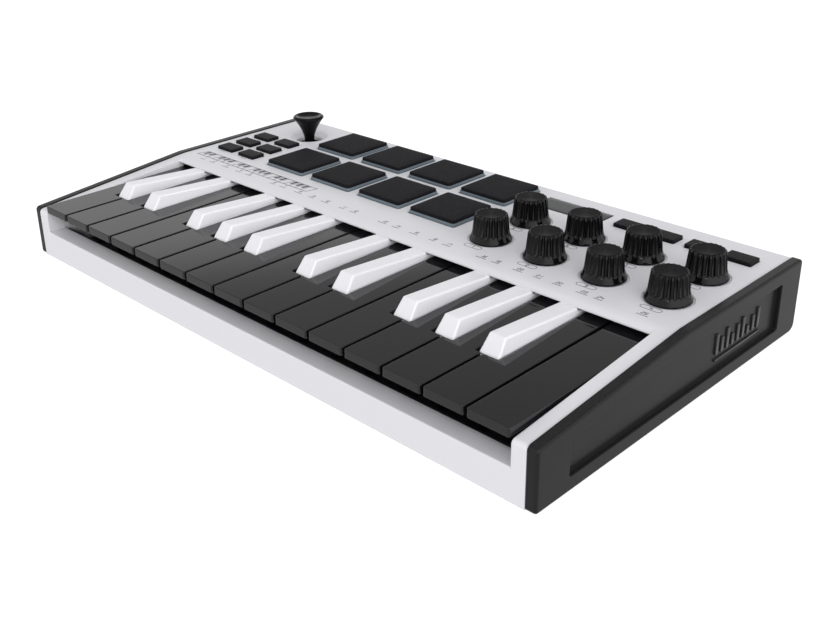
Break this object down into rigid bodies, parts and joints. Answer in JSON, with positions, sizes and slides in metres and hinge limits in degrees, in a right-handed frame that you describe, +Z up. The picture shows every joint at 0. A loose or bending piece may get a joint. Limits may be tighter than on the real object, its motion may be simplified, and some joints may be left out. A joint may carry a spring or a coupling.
{
  "type": "midi keyboard",
  "caption": "Compact desktop MIDI keyboard controller with mini piano keys, drum pads, rotary knobs, buttons, a small display and a thumbstick in a white case with dark end panels.",
  "frame": {"origin": "on the surface that the feet rest on, under the middle of the case's plan", "axes": "+X to the player's right along the keys, +Y from the player to the back, +Z up"},
  "size_m": [0.318, 0.177, 0.0455],
  "materials": {
    "shell_white": "satin moulded plastic",
    "end_panel_black": "satin moulded plastic",
    "natural_key_black": "polished moulded plastic",
    "sharp_key_white": "half-gloss moulded plastic",
    "pad_rubber": "matte silicone rubber",
    "knob_black": "glossy moulded plastic",
    "button_rubber": "matte silicone rubber",
    "frame_black": "plain moulded plastic",
    "circuit_board": "lacquered glass-fibre board",
    "display_window": "clear smoked plastic over a dark screen"
  },
  "bodies": {
    "case": {"top_case": "shell_white", "bottom_cover": "shell_white", "left_end_panel": "end_panel_black", "right_end_panel": "end_panel_black", "keybed_frame": "frame_black", "circuit_board": "circuit_board", "display_window": "display_window"},
    "natural_key_01": {"natural_key_01": "natural_key_black"},
    "natural_key_02": {"natural_key_02": "natural_key_black"},
    "natural_key_03": {"natural_key_03": "natural_key_black"},
    "natural_key_04": {"natural_key_04": "natural_key_black"},
    "natural_key_05": {"natural_key_05": "natural_key_black"},
    "natural_key_06": {"natural_key_06": "natural_key_black"},
    "natural_key_07": {"natural_key_07": "natural_key_black"},
    "natural_key_08": {"natural_key_08": "natural_key_black"},
    "natural_key_09": {"natural_key_09": "natural_key_black"},
    "natural_key_10": {"natural_key_10": "natural_key_black"},
    "natural_key_11": {"natural_key_11": "natural_key_black"},
    "natural_key_12": {"natural_key_12": "natural_key_black"},
    "natural_key_13": {"natural_key_13": "natural_key_black"},
    "natural_key_14": {"natural_key_14": "natural_key_black"},
    "natural_key_15": {"natural_key_15": "natural_key_black"},
    "sharp_key_01": {"sharp_key_01": "sharp_key_white"},
    "sharp_key_02": {"sharp_key_02": "sharp_key_white"},
    "sharp_key_03": {"sharp_key_03": "sharp_key_white"},
    "sharp_key_04": {"sharp_key_04": "sharp_key_white"},
    "sharp_key_05": {"sharp_key_05": "sharp_key_white"},
    "sharp_key_06": {"sharp_key_06": "sharp_key_white"},
    "sharp_key_07": {"sharp_key_07": "sharp_key_white"},
    "sharp_key_08": {"sharp_key_08": "sharp_key_white"},
    "sharp_key_09": {"sharp_key_09": "sharp_key_white"},
    "sharp_key_10": {"sharp_key_10": "sharp_key_white"},
    "drum_pad_1": {"drum_pad_1": "pad_rubber"},
    "drum_pad_2": {"drum_pad_2": "pad_rubber"},
    "drum_pad_3": {"drum_pad_3": "pad_rubber"},
    "drum_pad_4": {"drum_pad_4": "pad_rubber"},
    "drum_pad_5": {"drum_pad_5": "pad_rubber"},
    "drum_pad_6": {"drum_pad_6": "pad_rubber"},
    "drum_pad_7": {"drum_pad_7": "pad_rubber"},
    "drum_pad_8": {"drum_pad_8": "pad_rubber"},
    "knob_1": {"knob_1": "knob_black"},
    "knob_2": {"knob_2": "knob_black"},
    "knob_3": {"knob_3": "knob_black"},
    "knob_4": {"knob_4": "knob_black"},
    "knob_5": {"knob_5": "knob_black"},
    "knob_6": {"knob_6": "knob_black"},
    "knob_7": {"knob_7": "knob_black"},
    "knob_8": {"knob_8": "knob_black"},
    "left_button_1": {"left_button_1": "button_rubber"},
    "left_button_2": {"left_button_2": "button_rubber"},
    "left_button_3": {"left_button_3": "button_rubber"},
    "left_button_4": {"left_button_4": "button_rubber"},
    "left_button_5": {"left_button_5": "button_rubber"},
    "left_button_6": {"left_button_6": "button_rubber"},
    "right_button_1": {"right_button_1": "button_rubber"},
    "right_button_2": {"right_button_2": "button_rubber"},
    "right_button_3": {"right_button_3": "button_rubber"},
    "right_button_4": {"right_button_4": "button_rubber"},
    "thumbstick_gimbal": {"thumbstick_gimbal": "frame_black"},
    "thumbstick": {"thumbstick": "knob_black"}
  },
  "joints": [
    {"name": "natural_key_01_hinge", "type": "hinge", "parent": "case", "child": "natural_key_01", "pos_m": [0, 0.0095, 0.0228], "axis": [1, 0, 0], "range_deg": [0, 2.8], "stiffness_Nm_per_rad": 0.3, "springref_deg": -6.88},
    {"name": "natural_key_02_hinge", "type": "hinge", "parent": "case", "child": "natural_key_02", "pos_m": [0, 0.0095, 0.0228], "axis": [1, 0, 0], "range_deg": [0, 2.8], "stiffness_Nm_per_rad": 0.3, "springref_deg": -6.88},
    {"name": "natural_key_03_hinge", "type": "hinge", "parent": "case", "child": "natural_key_03", "pos_m": [0, 0.0095, 0.0228], "axis": [1, 0, 0], "range_deg": [0, 2.8], "stiffness_Nm_per_rad": 0.3, "springref_deg": -6.88},
    {"name": "natural_key_04_hinge", "type": "hinge", "parent": "case", "child": "natural_key_04", "pos_m": [0, 0.0095, 0.0228], "axis": [1, 0, 0], "range_deg": [0, 2.8], "stiffness_Nm_per_rad": 0.3, "springref_deg": -6.88},
    {"name": "natural_key_05_hinge", "type": "hinge", "parent": "case", "child": "natural_key_05", "pos_m": [0, 0.0095, 0.0228], "axis": [1, 0, 0], "range_deg": [0, 2.8], "stiffness_Nm_per_rad": 0.3, "springref_deg": -6.88},
    {"name": "natural_key_06_hinge", "type": "hinge", "parent": "case", "child": "natural_key_06", "pos_m": [0, 0.0095, 0.0228], "axis": [1, 0, 0], "range_deg": [0, 2.8], "stiffness_Nm_per_rad": 0.3, "springref_deg": -6.88},
    {"name": "natural_key_07_hinge", "type": "hinge", "parent": "case", "child": "natural_key_07", "pos_m": [0, 0.0095, 0.0228], "axis": [1, 0, 0], "range_deg": [0, 2.8], "stiffness_Nm_per_rad": 0.3, "springref_deg": -6.88},
    {"name": "natural_key_08_hinge", "type": "hinge", "parent": "case", "child": "natural_key_08", "pos_m": [0, 0.0095, 0.0228], "axis": [1, 0, 0], "range_deg": [0, 2.8], "stiffness_Nm_per_rad": 0.3, "springref_deg": -6.88},
    {"name": "natural_key_09_hinge", "type": "hinge", "parent": "case", "child": "natural_key_09", "pos_m": [0, 0.0095, 0.0228], "axis": [1, 0, 0], "range_deg": [0, 2.8], "stiffness_Nm_per_rad": 0.3, "springref_deg": -6.88},
    {"name": "natural_key_10_hinge", "type": "hinge", "parent": "case", "child": "natural_key_10", "pos_m": [0, 0.0095, 0.0228], "axis": [1, 0, 0], "range_deg": [0, 2.8], "stiffness_Nm_per_rad": 0.3, "springref_deg": -6.88},
    {"name": "natural_key_11_hinge", "type": "hinge", "parent": "case", "child": "natural_key_11", "pos_m": [0, 0.0095, 0.0228], "axis": [1, 0, 0], "range_deg": [0, 2.8], "stiffness_Nm_per_rad": 0.3, "springref_deg": -6.88},
    {"name": "natural_key_12_hinge", "type": "hinge", "parent": "case", "child": "natural_key_12", "pos_m": [0, 0.0095, 0.0228], "axis": [1, 0, 0], "range_deg": [0, 2.8], "stiffness_Nm_per_rad": 0.3, "springref_deg": -6.88},
    {"name": "natural_key_13_hinge", "type": "hinge", "parent": "case", "child": "natural_key_13", "pos_m": [0, 0.0095, 0.0228], "axis": [1, 0, 0], "range_deg": [0, 2.8], "stiffness_Nm_per_rad": 0.3, "springref_deg": -6.88},
    {"name": "natural_key_14_hinge", "type": "hinge", "parent": "case", "child": "natural_key_14", "pos_m": [0, 0.0095, 0.0228], "axis": [1, 0, 0], "range_deg": [0, 2.8], "stiffness_Nm_per_rad": 0.3, "springref_deg": -6.88},
    {"name": "natural_key_15_hinge", "type": "hinge", "parent": "case", "child": "natural_key_15", "pos_m": [0, 0.0095, 0.0228], "axis": [1, 0, 0], "range_deg": [0, 2.8], "stiffness_Nm_per_rad": 0.3, "springref_deg": -6.88},
    {"name": "sharp_key_01_hinge", "type": "hinge", "parent": "case", "child": "sharp_key_01", "pos_m": [0, 0.0095, 0.0228], "axis": [1, 0, 0], "range_deg": [0, 2.8], "stiffness_Nm_per_rad": 0.3, "springref_deg": -6.88},
    {"name": "sharp_key_02_hinge", "type": "hinge", "parent": "case", "child": "sharp_key_02", "pos_m": [0, 0.0095, 0.0228], "axis": [1, 0, 0], "range_deg": [0, 2.8], "stiffness_Nm_per_rad": 0.3, "springref_deg": -6.88},
    {"name": "sharp_key_03_hinge", "type": "hinge", "parent": "case", "child": "sharp_key_03", "pos_m": [0, 0.0095, 0.0228], "axis": [1, 0, 0], "range_deg": [0, 2.8], "stiffness_Nm_per_rad": 0.3, "springref_deg": -6.88},
    {"name": "sharp_key_04_hinge", "type": "hinge", "parent": "case", "child": "sharp_key_04", "pos_m": [0, 0.0095, 0.0228], "axis": [1, 0, 0], "range_deg": [0, 2.8], "stiffness_Nm_per_rad": 0.3, "springref_deg": -6.88},
    {"name": "sharp_key_05_hinge", "type": "hinge", "parent": "case", "child": "sharp_key_05", "pos_m": [0, 0.0095, 0.0228], "axis": [1, 0, 0], "range_deg": [0, 2.8], "stiffness_Nm_per_rad": 0.3, "springref_deg": -6.88},
    {"name": "sharp_key_06_hinge", "type": "hinge", "parent": "case", "child": "sharp_key_06", "pos_m": [0, 0.0095, 0.0228], "axis": [1, 0, 0], "range_deg": [0, 2.8], "stiffness_Nm_per_rad": 0.3, "springref_deg": -6.88},
    {"name": "sharp_key_07_hinge", "type": "hinge", "parent": "case", "child": "sharp_key_07", "pos_m": [0, 0.0095, 0.0228], "axis": [1, 0, 0], "range_deg": [0, 2.8], "stiffness_Nm_per_rad": 0.3, "springref_deg": -6.88},
    {"name": "sharp_key_08_hinge", "type": "hinge", "parent": "case", "child": "sharp_key_08", "pos_m": [0, 0.0095, 0.0228], "axis": [1, 0, 0], "range_deg": [0, 2.8], "stiffness_Nm_per_rad": 0.3, "springref_deg": -6.88},
    {"name": "sharp_key_09_hinge", "type": "hinge", "parent": "case", "child": "sharp_key_09", "pos_m": [0, 0.0095, 0.0228], "axis": [1, 0, 0], "range_deg": [0, 2.8], "stiffness_Nm_per_rad": 0.3, "springref_deg": -6.88},
    {"name": "sharp_key_10_hinge", "type": "hinge", "parent": "case", "child": "sharp_key_10", "pos_m": [0, 0.0095, 0.0228], "axis": [1, 0, 0], "range_deg": [0, 2.8], "stiffness_Nm_per_rad": 0.3, "springref_deg": -6.88},
    {"name": "drum_pad_1_press", "type": "slide", "parent": "case", "child": "drum_pad_1", "axis": [0, 0, -1], "range_m": [0, 0.001], "stiffness_N_per_m": 500, "springref_m": -0.001},
    {"name": "drum_pad_2_press", "type": "slide", "parent": "case", "child": "drum_pad_2", "axis": [0, 0, -1], "range_m": [0, 0.001], "stiffness_N_per_m": 500, "springref_m": -0.001},
    {"name": "drum_pad_3_press", "type": "slide", "parent": "case", "child": "drum_pad_3", "axis": [0, 0, -1], "range_m": [0, 0.001], "stiffness_N_per_m": 500, "springref_m": -0.001},
    {"name": "drum_pad_4_press", "type": "slide", "parent": "case", "child": "drum_pad_4", "axis": [0, 0, -1], "range_m": [0, 0.001], "stiffness_N_per_m": 500, "springref_m": -0.001},
    {"name": "drum_pad_5_press", "type": "slide", "parent": "case", "child": "drum_pad_5", "axis": [0, 0, -1], "range_m": [0, 0.001], "stiffness_N_per_m": 500, "springref_m": -0.001},
    {"name": "drum_pad_6_press", "type": "slide", "parent": "case", "child": "drum_pad_6", "axis": [0, 0, -1], "range_m": [0, 0.001], "stiffness_N_per_m": 500, "springref_m": -0.001},
    {"name": "drum_pad_7_press", "type": "slide", "parent": "case", "child": "drum_pad_7", "axis": [0, 0, -1], "range_m": [0, 0.001], "stiffness_N_per_m": 500, "springref_m": -0.001},
    {"name": "drum_pad_8_press", "type": "slide", "parent": "case", "child": "drum_pad_8", "axis": [0, 0, -1], "range_m": [0, 0.001], "stiffness_N_per_m": 500, "springref_m": -0.001},
    {"name": "knob_1_turn", "type": "hinge", "parent": "case", "child": "knob_1", "pos_m": [0.0488, 0.0197, 0.0331], "axis": [0, 0, 1], "continuous": true},
    {"name": "knob_2_turn", "type": "hinge", "parent": "case", "child": "knob_2", "pos_m": [0.0784, 0.0197, 0.0331], "axis": [0, 0, 1], "continuous": true},
    {"name": "knob_3_turn", "type": "hinge", "parent": "case", "child": "knob_3", "pos_m": [0.108, 0.0197, 0.0331], "axis": [0, 0, 1], "continuous": true},
    {"name": "knob_4_turn", "type": "hinge", "parent": "case", "child": "knob_4", "pos_m": [0.1376, 0.0197, 0.0331], "axis": [0, 0, 1], "continuous": true},
    {"name": "knob_5_turn", "type": "hinge", "parent": "case", "child": "knob_5", "pos_m": [0.0488, 0.0475, 0.0331], "axis": [0, 0, 1], "continuous": true},
    {"name": "knob_6_turn", "type": "hinge", "parent": "case", "child": "knob_6", "pos_m": [0.0784, 0.0475, 0.0331], "axis": [0, 0, 1], "continuous": true},
    {"name": "knob_7_turn", "type": "hinge", "parent": "case", "child": "knob_7", "pos_m": [0.108, 0.0475, 0.0331], "axis": [0, 0, 1], "continuous": true},
    {"name": "knob_8_turn", "type": "hinge", "parent": "case", "child": "knob_8", "pos_m": [0.1376, 0.0475, 0.0331], "axis": [0, 0, 1], "continuous": true},
    {"name": "left_button_1_press", "type": "slide", "parent": "case", "child": "left_button_1", "axis": [0, 0, -1], "range_m": [0, 0.0008], "stiffness_N_per_m": 200, "springref_m": -0.003},
    {"name": "left_button_2_press", "type": "slide", "parent": "case", "child": "left_button_2", "axis": [0, 0, -1], "range_m": [0, 0.0008], "stiffness_N_per_m": 200, "springref_m": -0.003},
    {"name": "left_button_3_press", "type": "slide", "parent": "case", "child": "left_button_3", "axis": [0, 0, -1], "range_m": [0, 0.0008], "stiffness_N_per_m": 200, "springref_m": -0.003},
    {"name": "left_button_4_press", "type": "slide", "parent": "case", "child": "left_button_4", "axis": [0, 0, -1], "range_m": [0, 0.0008], "stiffness_N_per_m": 200, "springref_m": -0.003},
    {"name": "left_button_5_press", "type": "slide", "parent": "case", "child": "left_button_5", "axis": [0, 0, -1], "range_m": [0, 0.0008], "stiffness_N_per_m": 200, "springref_m": -0.003},
    {"name": "left_button_6_press", "type": "slide", "parent": "case", "child": "left_button_6", "axis": [0, 0, -1], "range_m": [0, 0.0008], "stiffness_N_per_m": 200, "springref_m": -0.003},
    {"name": "right_button_1_press", "type": "slide", "parent": "case", "child": "right_button_1", "axis": [0, 0, -1], "range_m": [0, 0.0008], "stiffness_N_per_m": 200, "springref_m": -0.003},
    {"name": "right_button_2_press", "type": "slide", "parent": "case", "child": "right_button_2", "axis": [0, 0, -1], "range_m": [0, 0.0008], "stiffness_N_per_m": 200, "springref_m": -0.003},
    {"name": "right_button_3_press", "type": "slide", "parent": "case", "child": "right_button_3", "axis": [0, 0, -1], "range_m": [0, 0.0008], "stiffness_N_per_m": 200, "springref_m": -0.003},
    {"name": "right_button_4_press", "type": "slide", "parent": "case", "child": "right_button_4", "axis": [0, 0, -1], "range_m": [0, 0.0008], "stiffness_N_per_m": 200, "springref_m": -0.003},
    {"name": "thumbstick_sideways", "type": "hinge", "parent": "case", "child": "thumbstick_gimbal", "pos_m": [-0.1252, 0.0663, 0.0251], "axis": [0, 1, 0], "range_deg": [-20, 20], "stiffness_Nm_per_rad": 0.03},
    {"name": "thumbstick_forward", "type": "hinge", "parent": "thumbstick_gimbal", "child": "thumbstick", "pos_m": [-0.1252, 0.0663, 0.0251], "axis": [1, 0, 0], "range_deg": [-20, 20], "stiffness_Nm_per_rad": 0.03}
  ]
}
